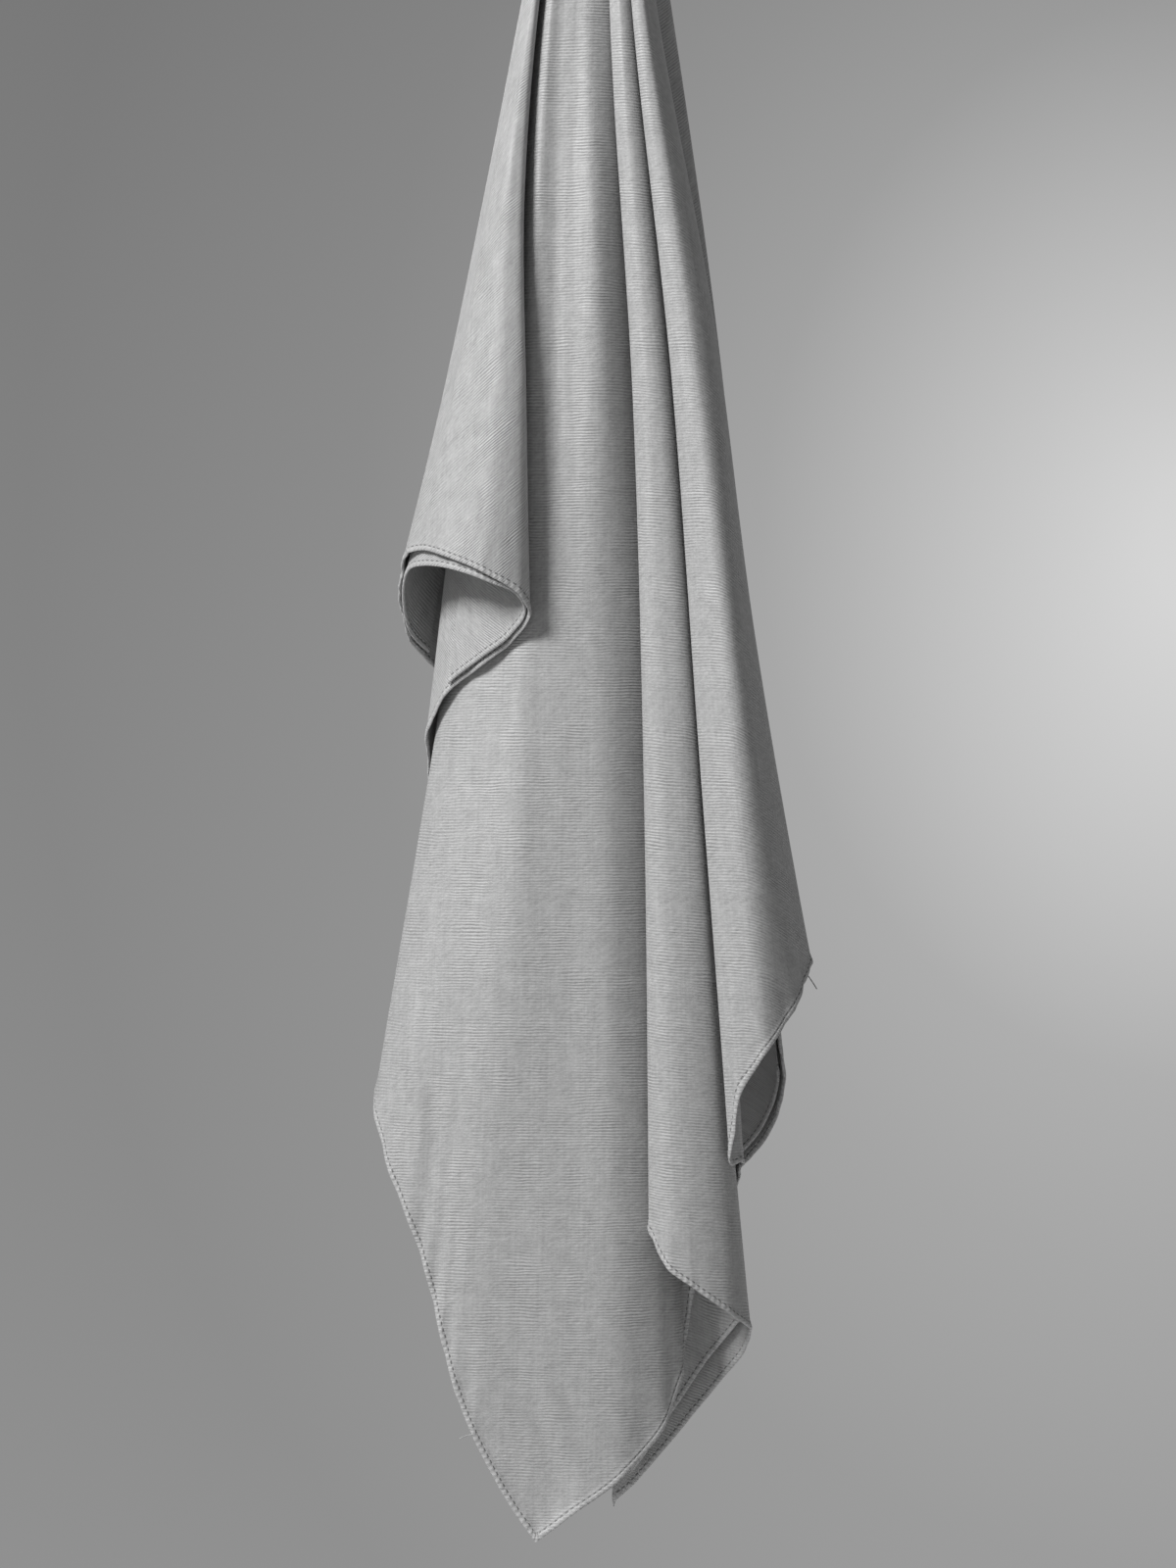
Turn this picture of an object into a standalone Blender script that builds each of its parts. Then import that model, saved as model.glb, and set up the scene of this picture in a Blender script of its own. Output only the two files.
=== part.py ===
"""A square scarf (hijab) held up at one point, falling in long folds with slanting hems.

One cloth runs once round the held point in a single line of folds. Each row of a table below is one fold
line, from the gather at the top down to its own point on the hem, in the order in which the cloth runs:
over the back, round the left roll, over the broad front panel and through the two narrow rolls at the right.
A stretch of cloth is the smooth surface through its fold lines, given a wall thickness.
Front is -Y, up is +Z, and the origin is the point where the scarf is held.
"""

from collections import namedtuple

import bpy
import numpy as np

MM = 0.001

# Driving sizes, in millimetres
WALL = 1.0              # thickness of the cloth wall
SEAM_GAP = 0.4          # clear gap between two stretches of the cloth
GATHER_DROP = 42.0      # below the held point, where the pressed bundle ends and the folds open
NECK_DROP = 114.0       # below the held point, where the table's "neck" column is read
NECK_SQUEEZE = 0.4      # width left at the held point, as a share of the width at NECK_DROP
DEPTH_DROP = 554.0      # below the held point, where the table's "depth" column is read
DEPTH_START = -18.0     # height at which the depth of the bundle would run out to nothing
STEPS_ACROSS = 3        # faces between two fold lines
STEPS_DOWN = 12         # faces from the gather to the hem

# A fold line. neck, upper, lower and end are its distances to the right of the held point: at NECK_DROP, at
# one third and two thirds of the way from there to its end, and at its end on the hem. depth is how far
# behind the held point it lies at DEPTH_DROP, and drop is how far below the held point its end is.
Fold = namedtuple("Fold", "name neck upper lower end depth drop")

RIGHT_BACK_PANEL = [
    Fold("right_back_side", 28.5, 49.5, 64.5, 75.5, 28, 626),
    Fold("right_back_middle", 23.5, 39.5, 50.5, 58, 39, 647),
    Fold("right_back_corner", 15.5, 26.5, 33, 37.5, 38, 671),
    Fold("right_top_low", 11.5, 15, 18.5, 22, 44, 450),
    Fold("right_top_high", 7, 8.5, 10.5, 12, 42, 250),
]
LEFT_BACK_PANEL = [
    Fold("top_middle", 1, 1.5, 2, 2, 47, 135),
    Fold("left_top_high", -4.5, -6.5, -8.5, -11, 44, 220),
    Fold("left_top_low", -8, -11.5, -15, -19, 47, 330),
    Fold("left_back_corner", -11, -17.5, -26, -35, 43, 444.5),
    Fold("left_back_middle", -26, -37.5, -49.5, -64, 42, 423.5),
]
LEFT_ROLL = [
    Fold("left_back_side", -32.5, -47.5, -64, -81, 28, 409.5),
    Fold("left_back_turn", -35, -52, -70, -89, 14, 397),
    Fold("left_roll_outside", -36, -53, -71, -91, -2, 378.5),
    Fold("left_roll_shoulder", -35, -51, -68, -88, -18, 365.5),
    Fold("left_roll_peak", -34.5, -49, -64, -81, -30, 362.5),
    Fold("left_roll_front", -32.5, -45, -55, -68, -40, 366.5),
    Fold("left_roll_crown", -30.5, -40, -43, -49.5, -46, 375),
    Fold("left_roll_bend", -29, -36, -35.5, -37, -44.5, 383),
    Fold("left_roll_edge", -28, -35, -34, -32.5, -39, 392.5),
]
LEFT_FLAP = [
    Fold("left_flap_bend", -29.5, -36, -36, -38.5, -33, 401.5),
    Fold("left_flap_middle", -31, -39, -45.5, -52, -27, 412.5),
    Fold("left_flap_side", -32, -43, -55, -68, -14, 424.5),
    Fold("left_flap_outside", -33, -47, -66, -79, 6, 447),
]
LEFT_UNDERFOLD = [
    Fold("left_underfold_back", -26, -37.5, -51.5, -67.5, 32, 488.5),
    Fold("left_underfold_bend", -18, -26, -36, -44, 34, 519),
    Fold("left_underfold_valley", -17, -25, -35, -43.5, 28, 545),
]
MAIN_SIDE = [
    Fold("main_turnback", -25, -40, -57.5, -77, 23, 574),
    Fold("main_outside", -29.5, -52, -75, -102.5, 8, 606.5),
    Fold("main_left", -28, -48, -71.5, -96.5, -6, 635),
]
MAIN_PANEL = [
    Fold("main_left_hem", -25, -40, -57, -79, -20, 682),
    Fold("main_left_low", -21.5, -32.5, -45.5, -63.5, -29, 740),
    Fold("main_left_tip", -17, -24, -31, -41.5, -32, 784),
    Fold("main_corner", -14.5, -19, -23.5, -29.5, -33, 801),
    Fold("main_right_tip", -11, -12, -13, -15, -33.5, 790),
]
MAIN_PANEL_RIGHT = [
    Fold("main_crown", -5, 0, 5, 9, -32.5, 772),
    Fold("main_right_low", 5.5, 14.5, 23.5, 32.5, -23.5, 739),
    Fold("main_right_hem", 8.5, 21.5, 30.5, 38.5, -15, 706),
    Fold("middle_valley", 11, 25, 34, 41.5, -16, 686.5),
]
MIDDLE_ROLL = [
    Fold("middle_underlay", 7.5, 19.5, 26, 30.5, -25, 674),
    Fold("middle_roll_edge", 3, 13.5, 18.5, 20.5, -34, 664),
    Fold("middle_roll_front", 5.5, 17.5, 23, 27, -41, 678),
]
MIDDLE_ROLL_SIDE = [
    Fold("middle_roll_crown", 8.5, 25, 34.5, 40, -43, 688.5),
    Fold("middle_roll_right", 12.5, 32, 45, 57, -37.5, 701),
    Fold("middle_roll_outside", 14.5, 34, 47.5, 65.5, -18, 712),
]
MIDDLE_RETURN = [
    Fold("middle_return_side", 14, 33, 46.5, 61.5, -7, 723),
    Fold("middle_return_back", 12.5, 27.5, 40, 49.5, 2, 739),
    Fold("middle_return_low", 8.5, 16.5, 23.5, 29, 8, 765),
    Fold("middle_return_tip", 5.5, 8.5, 11.5, 13.5, 10, 783),
    Fold("middle_corner", 2.5, 3, 4, 4, 13, 793),
]
RIGHT_UNDERFOLD = [
    Fold("right_underfold_low", 8.5, 15.5, 21.5, 25, 19, 748),
    Fold("right_underfold_middle", 13, 25, 35.5, 44.5, 19, 704),
    Fold("right_underfold_back", 17, 34, 48, 57, 8, 660),
]
RIGHT_TURN = [
    Fold("right_underfold_side", 18, 39, 53.5, 61, -14, 640),
    Fold("right_underfold_front", 17, 37.5, 50, 61, -36, 633.5),
    Fold("right_roll_edge", 12.5, 30.5, 43, 56.5, -45, 629.5),
    Fold("right_roll_bend", 14, 33, 46.5, 60.5, -51, 603.5),
]
RIGHT_ROLL = [
    Fold("right_roll_crown", 17, 38.5, 53.5, 68, -52, 590),
    Fold("right_roll_right", 20, 44.5, 61.5, 80.5, -44, 572),
]
RIGHT_ROLL_BACK = [
    Fold("right_roll_outside", 23, 47, 66, 90, -10, 547.5),
    Fold("right_back_valley", 20.5, 40, 59.5, 79, 2, 567.5),
    Fold("right_back_outside", 30, 53, 68.5, 82, 14, 603),
]

# The stretches of the cloth in order, once round. Each runs on to the first fold line of the next, and the
# last one to the first fold line of the first.
STRETCHES = {
    "right_back_panel": RIGHT_BACK_PANEL,
    "left_back_panel": LEFT_BACK_PANEL,
    "left_roll": LEFT_ROLL,
    "left_flap": LEFT_FLAP,
    "left_underfold": LEFT_UNDERFOLD,
    "main_side": MAIN_SIDE,
    "main_panel": MAIN_PANEL,
    "main_panel_right": MAIN_PANEL_RIGHT,
    "middle_roll": MIDDLE_ROLL,
    "middle_roll_side": MIDDLE_ROLL_SIDE,
    "middle_return": MIDDLE_RETURN,
    "right_underfold": RIGHT_UNDERFOLD,
    "right_turn": RIGHT_TURN,
    "right_roll": RIGHT_ROLL,
    "right_roll_back": RIGHT_ROLL_BACK,
}
ROUND = [fold for folds in STRETCHES.values() for fold in folds]
FOLDS = ROUND[-1:] + ROUND + ROUND[:2]      # a fold line more at each end, so that the surface runs on smoothly
FOLD_NAMES = [fold.name for fold in FOLDS]
# The corners of the square, where the hem has a sharp point
CORNERS = ("main_corner", "middle_corner", "right_back_corner", "left_back_corner")

# A second ply, seen as a second hem line just inside a roll. Each row is a fold line of the cloth that it
# follows, how far below that fold line's end its own hem lies, and how far inside it the ply lies there.
Ply = namedtuple("Ply", "fold lower inside")

# Below the held point, where each second ply starts: where its roll is wide enough to hold it
LEFT_PLY_DROP = 300.0
RIGHT_PLY_DROP = 300.0
MIDDLE_PLY_DROP = 480.0

LEFT_INNER_PLY = [
    Ply("left_back_side", -3.0, 2.2),
    Ply("left_roll_outside", 4.0, 2.4),
    Ply("left_roll_peak", 6.5, 2.6),
    Ply("left_roll_crown", 2.5, 2.2),
    Ply("left_roll_edge", -2.0, 2.0),
    Ply("left_flap_middle", -3.0, 2.0),
    Ply("left_flap_side", -2.5, 2.0),
]
RIGHT_INNER_PLY = [
    Ply("right_back_outside", -4.0, 2.2),
    Ply("right_back_side", -5.0, 2.4),
    Ply("right_back_middle", -5.0, 2.2),
]
MIDDLE_INNER_PLY = [
    Ply("middle_roll_outside", -9.0, 2.4),
    Ply("middle_return_side", -13.0, 3.0),
    Ply("middle_return_back", -14.0, 4.0),
    Ply("middle_return_low", -11.0, 3.5),
    Ply("middle_return_tip", -6.0, 3.0),
]

# The pressed bundle at the top: its half sizes where the folds open, and its pleats
BUNDLE_CENTRE_X = -1.9
BUNDLE_CENTRE_Y = -0.9
BUNDLE_HALF_WIDTH = 22.4
BUNDLE_HALF_DEPTH = 18.2
BUNDLE_PLEATS = 13
BUNDLE_PLEAT_DEPTH = 0.07       # share of the half size
BUNDLE_STEPS_ROUND = 52
# Height above the held point, and the bundle's size there as a share of its size where the folds open
Ring = namedtuple("Ring", "height size")
BUNDLE_RINGS = [
    Ring(SEAM_GAP - GATHER_DROP, 1.0),
    Ring(-28.0, 0.82),
    Ring(-14.0, 0.62),
    Ring(0.0, 0.47),
    Ring(7.0, 0.42),
    Ring(12.0, 0.33),
    Ring(14.5, 0.18),
]


def spline(knots, values, at, corners=()):
    """Smooth curve through values at uneven knots, read at the places in at.

    Each slope is the average of those on its two sides, weighted by nearness. A knot named in corners keeps
    the straight slope of each side, so the curve has a point there.
    """
    knots, values, at = np.asarray(knots, float), np.asarray(values, float), np.asarray(at, float)
    column = (-1,) + (1,) * (values.ndim - 1)
    gaps = np.diff(knots).reshape(column)
    rises = np.diff(values, axis=0) / gaps
    inner = (rises[:-1] * gaps[1:] + rises[1:] * gaps[:-1]) / (gaps[:-1] + gaps[1:])
    slopes_in = np.concatenate([rises[:1], inner, rises[-1:]])
    slopes_out = slopes_in.copy()
    for knot in corners:
        slopes_in[knot], slopes_out[knot] = rises[knot - 1], rises[knot]
    left = np.clip(np.searchsorted(knots, at, side="right") - 1, 0, len(knots) - 2)
    gap = gaps[left]
    t = (at - knots[left]).reshape(column) / gap
    return ((2 * t**3 - 3 * t**2 + 1) * values[left] + (t**3 - 2 * t**2 + t) * gap * slopes_out[left]
            + (3 * t**2 - 2 * t**3) * values[left + 1] + (t**3 - t**2) * gap * slopes_in[left + 1])


def fold_line(fold, drops):
    """Points of one fold line at the given drops below the held point: x to the right, y back, z up."""
    third = (fold.drop - NECK_DROP) / 3
    knots = [GATHER_DROP, NECK_DROP, NECK_DROP + third, NECK_DROP + 2 * third, fold.drop]
    gather = fold.neck * (NECK_SQUEEZE + (1 - NECK_SQUEEZE) * GATHER_DROP / NECK_DROP)
    x = spline(knots, [gather, fold.neck, fold.upper, fold.lower, fold.end], drops)
    y = fold.depth * np.sqrt((drops - DEPTH_START) / (DEPTH_DROP - DEPTH_START))
    return np.column_stack([x, y, -drops])


def places_across():
    """Place of each fold line along the cloth: the length of the line through them at their lower reading."""
    lower = np.array([(fold.lower, fold.depth) for fold in FOLDS])
    return np.concatenate([[0], np.cumsum(np.hypot(*np.diff(lower, axis=0).T))])


PLACES = places_across()


def fold_index(name, after=0):
    """Place of a fold line in FOLDS, past the one at after. The one at 0 is the extra one at the start."""
    return FOLD_NAMES.index(name, after + 1)


def cloth_grid(start, stop, top_drop=GATHER_DROP, hem_shift=None):
    """Grid of points, across by down, of the cloth from one fold line to another, given by their indices.

    Rows run from top_drop to the hem. hem_shift is how far below the fold lines' ends the hem lies, one
    number for each fold line of the whole cloth.
    """
    shift = np.zeros(len(FOLDS)) if hem_shift is None else hem_shift
    share = np.linspace(0, 1, STEPS_DOWN + 1)
    lines = np.array([fold_line(fold, top_drop + share * (fold.drop + lower - top_drop))
                      for fold, lower in zip(FOLDS, shift)])
    at = np.concatenate([np.linspace(PLACES[i], PLACES[i + 1], STEPS_ACROSS, endpoint=False)
                         for i in range(start, stop)] + [[PLACES[stop]]])
    grid = spline(PLACES, lines, at)
    corners = [fold_index(name) for name in CORNERS]
    grid[:, :, 2] = spline(PLACES, lines[:, :, 2], at, corners)
    return grid


def inward(grid):
    """Unit normals of a grid, on the side to which the cloth's right-hand turns face."""
    across = np.gradient(grid, axis=0)
    down = np.gradient(grid, axis=1)
    normal = np.cross(across, down)
    return normal / np.linalg.norm(normal, axis=2, keepdims=True)


def draw_in(grid, gap):
    """Move a grid's first and last columns towards their neighbours, to leave half the gap at each side.

    The way is square to the column, so that the gap is as wide where the rows meet it at a slant.
    """
    for edge, beside in ((0, 1), (-1, -2)):
        along = np.gradient(grid[edge], axis=0)
        along /= np.linalg.norm(along, axis=1, keepdims=True)
        way = grid[beside] - grid[edge]
        way -= np.sum(way * along, axis=1, keepdims=True) * along
        grid[edge] += way / np.linalg.norm(way, axis=1, keepdims=True) * gap / 2


def new_object(name, verts, faces, material):
    mesh = bpy.data.meshes.new(name)
    mesh.from_pydata((np.asarray(verts) * MM).tolist(), [], faces)
    mesh.materials.append(material)
    mesh.shade_smooth()
    thing = bpy.data.objects.new(name, mesh)
    scarf.objects.link(thing)
    return thing


def cloth_wall(name, grid, material):
    """A grid of points as an open sheet, with its wall's thickness from Solidify."""
    across, down = grid.shape[:2]
    corner = np.arange(across * down).reshape(across, down)
    faces = np.stack([corner[:-1, :-1], corner[:-1, 1:], corner[1:, 1:], corner[1:, :-1]], axis=2)
    thing = new_object(name, grid.reshape(-1, 3), faces.reshape(-1, 4).tolist(), material)
    wall = thing.modifiers.new("wall", "SOLIDIFY")
    wall.thickness = WALL * MM
    wall.offset = 0
    return thing


def inner_ply(name, plies, top_drop, material):
    """A second ply that follows the cloth inside a roll, from top_drop down to its own hem."""
    known = [0]
    for ply in plies:
        known.append(fold_index(ply.fold, known[-1]))
    known = known[1:]
    places = [PLACES[i] for i in known]
    shift = np.interp(PLACES, places, [ply.lower for ply in plies])
    grid = cloth_grid(known[0], known[-1], top_drop, shift)
    at = np.linspace(places[0], places[-1], len(grid))
    inside = np.interp(at, places, [ply.inside for ply in plies])
    grid += inside[:, None, None] * inward(grid)
    return cloth_wall(name, grid, material)


def gathered_bundle(name, material):
    """The cloth pressed together where it is held: pleated rings that close in a rounded top."""
    turn = np.linspace(0, 2 * np.pi, BUNDLE_STEPS_ROUND, endpoint=False)
    pleat = 1 - BUNDLE_PLEAT_DEPTH * (0.5 - 0.5 * np.cos(BUNDLE_PLEATS * turn))
    verts = []
    for ring in BUNDLE_RINGS:
        x = BUNDLE_CENTRE_X + BUNDLE_HALF_WIDTH * pleat * np.cos(turn)
        y = BUNDLE_CENTRE_Y + BUNDLE_HALF_DEPTH * pleat * np.sin(turn)
        verts += list(np.column_stack([ring.size * x, ring.size * y, np.full_like(turn, ring.height)]))
    n = BUNDLE_STEPS_ROUND
    faces = [[row * n + i, row * n + (i + 1) % n, (row + 1) * n + (i + 1) % n, (row + 1) * n + i]
             for row in range(len(BUNDLE_RINGS) - 1) for i in range(n)]
    faces.append(list(range(n))[::-1])
    faces.append(list(range(len(verts) - n, len(verts))))
    return new_object(name, verts, faces, material)


def cloth_material():
    """Light grey fine twill with a soft lustre."""
    material = bpy.data.materials.new("grey_twill")
    material.use_nodes = True
    shader = material.node_tree.nodes["Principled BSDF"]
    shader.inputs["Base Color"].default_value = (0.42, 0.42, 0.42, 1)
    shader.inputs["Roughness"].default_value = 0.55
    shader.inputs["Metallic"].default_value = 0
    return material


for old in list(bpy.data.objects):
    bpy.data.objects.remove(old)
scarf = bpy.data.collections.new("hijab")
bpy.context.scene.collection.children.link(scarf)
twill = cloth_material()

# The stretches of cloth, each up to the first fold line of the next
start = 1
for name, folds in STRETCHES.items():
    stretch = cloth_grid(start, start + len(folds))
    draw_in(stretch, SEAM_GAP)
    cloth_wall(name, stretch, twill)
    start += len(folds)

# The second plies, each inside its roll
inner_ply("left_inner_ply", LEFT_INNER_PLY, LEFT_PLY_DROP, twill)
inner_ply("right_inner_ply", RIGHT_INNER_PLY, RIGHT_PLY_DROP, twill)
inner_ply("middle_inner_ply", MIDDLE_INNER_PLY, MIDDLE_PLY_DROP, twill)

gathered_bundle("gathered_top", twill)
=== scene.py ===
"""A square grey headscarf (hijab) held up at one point, hanging in long soft folds with stitched hems.

Sizes are in millimetres until a mesh is made. Front is -Y, up is +Z, and the origin is the held point.
"""

from collections import namedtuple

import bpy
import numpy as np
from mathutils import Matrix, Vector


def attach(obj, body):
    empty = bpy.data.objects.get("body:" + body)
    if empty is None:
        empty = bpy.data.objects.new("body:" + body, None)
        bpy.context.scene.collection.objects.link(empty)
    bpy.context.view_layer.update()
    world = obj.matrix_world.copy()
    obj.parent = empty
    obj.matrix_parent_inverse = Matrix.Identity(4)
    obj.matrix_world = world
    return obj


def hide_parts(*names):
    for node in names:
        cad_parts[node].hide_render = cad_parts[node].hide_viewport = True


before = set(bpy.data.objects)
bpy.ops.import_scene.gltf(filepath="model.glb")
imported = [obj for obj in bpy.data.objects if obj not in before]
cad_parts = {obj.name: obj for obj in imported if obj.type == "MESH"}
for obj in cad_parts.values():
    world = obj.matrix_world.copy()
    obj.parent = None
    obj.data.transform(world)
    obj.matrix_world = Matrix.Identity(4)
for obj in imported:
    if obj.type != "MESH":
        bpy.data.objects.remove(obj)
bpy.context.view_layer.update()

# ---------------------------------------------------------------------------------------------------------
# The cloth: one square of fine light grey twill, cut to about 90 cm and hemmed all round. It hangs from the
# held point in one closed line of folds, over the back, round the left roll, over the broad front panel and
# through the two narrow rolls at the right. Each stretch of it is a thin shell, with its hem at the foot.
# ---------------------------------------------------------------------------------------------------------
MM = 0.001
GATHER_DROP = 42.0      # below the held point, where the pressed bundle ends and the folds open
NECK_DROP = 114.0       # below the held point, where the table's "neck" column is read
NECK_SQUEEZE = 0.4      # width left at the held point, as a share of the width at NECK_DROP
DEPTH_DROP = 554.0      # below the held point, where the table's "depth" column is read
DEPTH_START = -18.0     # height at which the depth of the bundle would run out to nothing

# A fold line. neck, upper, lower and end are its distances to the right of the held point: at NECK_DROP, at
# one third and two thirds of the way from there to its end, and at its end on the hem. depth is how far
# behind the held point it lies at DEPTH_DROP, drop is how far below the held point its end is, and rib is
# how much the twill's ribs climb for each millimetre across.
Fold = namedtuple("Fold", "name neck upper lower end depth drop rib")

RIGHT_BACK_PANEL = [
    Fold("right_back_side", 28.5, 49.5, 64.5, 75.5, 28, 626, 0.65),
    Fold("right_back_middle", 23.5, 39.5, 50.5, 58, 39, 647, 0.7),
    Fold("right_back_corner", 15.5, 26.5, 33, 37.5, 38, 671, 0.7),
    Fold("right_top_low", 11.5, 15, 18.5, 22, 44, 450, 0.7),
    Fold("right_top_high", 7, 8.5, 10.5, 12, 42, 250, 0.7),
]
LEFT_BACK_PANEL = [
    Fold("top_middle", 1, 1.5, 2, 2, 47, 135, 0.7),
    Fold("left_top_high", -4.5, -6.5, -8.5, -11, 44, 220, 0.7),
    Fold("left_top_low", -8, -11.5, -15, -19, 47, 330, 0.7),
    Fold("left_back_corner", -11, -17.5, -26, -35, 43, 444.5, 0.7),
    Fold("left_back_middle", -26, -37.5, -49.5, -64, 42, 423.5, 0.6),
]
LEFT_ROLL = [
    Fold("left_back_side", -32.5, -47.5, -64, -81, 28, 409.5, 0.5),
    Fold("left_back_turn", -35, -52, -70, -89, 14, 397, 0.5),
    Fold("left_roll_outside", -36, -53, -71, -91, -2, 378.5, 0.5),
    Fold("left_roll_shoulder", -35, -51, -68, -88, -18, 365.5, 0.55),
    Fold("left_roll_peak", -34.5, -49, -64, -81, -30, 362.5, 0.65),
    Fold("left_roll_front", -32.5, -45, -55, -68, -40, 366.5, 0.78),
    Fold("left_roll_crown", -30.5, -40, -43, -49.5, -46, 375, 0.84),
    Fold("left_roll_bend", -29, -36, -35.5, -37, -44.5, 383, 0.84),
    Fold("left_roll_edge", -28, -35, -34, -32.5, -39, 392.5, 0.84),
]
LEFT_FLAP = [
    Fold("left_flap_bend", -29.5, -36, -36, -38.5, -33, 401.5, 0.8),
    Fold("left_flap_middle", -31, -39, -45.5, -52, -27, 412.5, 0.8),
    Fold("left_flap_side", -32, -43, -55, -68, -14, 424.5, 0.75),
    Fold("left_flap_outside", -33, -47, -66, -79, 6, 447, 0.6),
]
LEFT_UNDERFOLD = [
    Fold("left_underfold_back", -26, -37.5, -51.5, -67.5, 32, 488.5, 0.4),
    Fold("left_underfold_bend", -18, -26, -36, -44, 34, 519, 0.2),
    Fold("left_underfold_valley", -17, -25, -35, -43.5, 28, 545, 0.1),
]
MAIN_SIDE = [
    Fold("main_turnback", -25, -40, -57.5, -77, 23, 574, 0),
    Fold("main_outside", -29.5, -52, -75, -102.5, 8, 606.5, 0),
    Fold("main_left", -28, -48, -71.5, -96.5, -6, 635, 0),
]
MAIN_PANEL = [
    Fold("main_left_hem", -25, -40, -57, -79, -20, 682, 0),
    Fold("main_left_low", -21.5, -32.5, -45.5, -63.5, -29, 740, 0),
    Fold("main_left_tip", -17, -24, -31, -41.5, -32, 784, 0),
    Fold("main_corner", -14.5, -19, -23.5, -29.5, -33, 801, 0),
    Fold("main_right_tip", -11, -12, -13, -15, -33.5, 790, 0),
]
MAIN_PANEL_RIGHT = [
    Fold("main_crown", -5, 0, 5, 9, -32.5, 772, 0),
    Fold("main_right_low", 5.5, 14.5, 23.5, 32.5, -23.5, 739, 0),
    Fold("main_right_hem", 8.5, 21.5, 30.5, 38.5, -15, 706, 0),
    Fold("middle_valley", 11, 25, 34, 41.5, -16, 686.5, 0),
]
MIDDLE_ROLL = [
    Fold("middle_underlay", 7.5, 19.5, 26, 30.5, -25, 674, -0.05),
    Fold("middle_roll_edge", 3, 13.5, 18.5, 20.5, -34, 664, -0.08),
    Fold("middle_roll_front", 5.5, 17.5, 23, 27, -41, 678, -0.08),
]
MIDDLE_ROLL_SIDE = [
    Fold("middle_roll_crown", 8.5, 25, 34.5, 40, -43, 688.5, -0.08),
    Fold("middle_roll_right", 12.5, 32, 45, 57, -37.5, 701, -0.1),
    Fold("middle_roll_outside", 14.5, 34, 47.5, 65.5, -18, 712, -0.1),
]
MIDDLE_RETURN = [
    Fold("middle_return_side", 14, 33, 46.5, 61.5, -7, 723, 0.1),
    Fold("middle_return_back", 12.5, 27.5, 40, 49.5, 2, 739, 0.3),
    Fold("middle_return_low", 8.5, 16.5, 23.5, 29, 8, 765, 0.3),
    Fold("middle_return_tip", 5.5, 8.5, 11.5, 13.5, 10, 783, 0.3),
    Fold("middle_corner", 2.5, 3, 4, 4, 13, 793, 0.3),
]
RIGHT_UNDERFOLD = [
    Fold("right_underfold_low", 8.5, 15.5, 21.5, 25, 19, 748, 0.3),
    Fold("right_underfold_middle", 13, 25, 35.5, 44.5, 19, 704, 0.3),
    Fold("right_underfold_back", 17, 34, 48, 57, 8, 660, 0.2),
]
RIGHT_TURN = [
    Fold("right_underfold_side", 18, 39, 53.5, 61, -14, 640, 0.1),
    Fold("right_underfold_front", 17, 37.5, 50, 61, -36, 633.5, 0),
    Fold("right_roll_edge", 12.5, 30.5, 43, 56.5, -45, 629.5, 0),
    Fold("right_roll_bend", 14, 33, 46.5, 60.5, -51, 603.5, 0),
]
RIGHT_ROLL = [
    Fold("right_roll_crown", 17, 38.5, 53.5, 68, -52, 590, -0.1),
    Fold("right_roll_right", 20, 44.5, 61.5, 80.5, -44, 572, -0.55),
]
RIGHT_ROLL_BACK = [
    Fold("right_roll_outside", 23, 47, 66, 90, -10, 547.5, -0.4),
    Fold("right_back_valley", 20.5, 40, 59.5, 79, 2, 567.5, 0.6),
    Fold("right_back_outside", 30, 53, 68.5, 82, 14, 603, 0.65),
]

# A stretch of the cloth: its fold lines, and the fold line from which its ribs are measured. Stretches that
# meet where it shows measure from the same one, so that their ribs run on.
Stretch = namedtuple("Stretch", "name folds ribs_from")
STRETCHES = [
    Stretch("right_back_panel", RIGHT_BACK_PANEL, "top_middle"),
    Stretch("left_back_panel", LEFT_BACK_PANEL, "top_middle"),
    Stretch("left_roll", LEFT_ROLL, "left_roll_edge"),
    Stretch("left_flap", LEFT_FLAP, "left_roll_edge"),
    Stretch("left_underfold", LEFT_UNDERFOLD, "left_underfold_bend"),
    Stretch("main_side", MAIN_SIDE, "main_corner"),
    Stretch("main_panel", MAIN_PANEL, "main_corner"),
    Stretch("main_panel_right", MAIN_PANEL_RIGHT, "main_corner"),
    Stretch("middle_roll", MIDDLE_ROLL, "middle_roll_crown"),
    Stretch("middle_roll_side", MIDDLE_ROLL_SIDE, "middle_roll_crown"),
    Stretch("middle_return", MIDDLE_RETURN, "middle_return_back"),
    Stretch("right_underfold", RIGHT_UNDERFOLD, "right_underfold_middle"),
    Stretch("right_turn", RIGHT_TURN, "right_roll_crown"),
    Stretch("right_roll", RIGHT_ROLL, "right_roll_crown"),
    Stretch("right_roll_back", RIGHT_ROLL_BACK, "right_roll_crown"),
]
ROUND = [fold for stretch in STRETCHES for fold in stretch.folds]
FOLDS = ROUND[-1:] + ROUND + ROUND[:3]      # more fold lines at each end, so that the surface runs on
FOLD_NAMES = [fold.name for fold in FOLDS]
# The corners of the square, where the hem has a sharp point
CORNERS = ("main_corner", "middle_corner", "right_back_corner", "left_back_corner")


def fold_index(name, after=0):
    """Place of a fold line in FOLDS, past the one at after. The one at 0 is the extra one at the start."""
    return FOLD_NAMES.index(name, after + 1)


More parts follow.
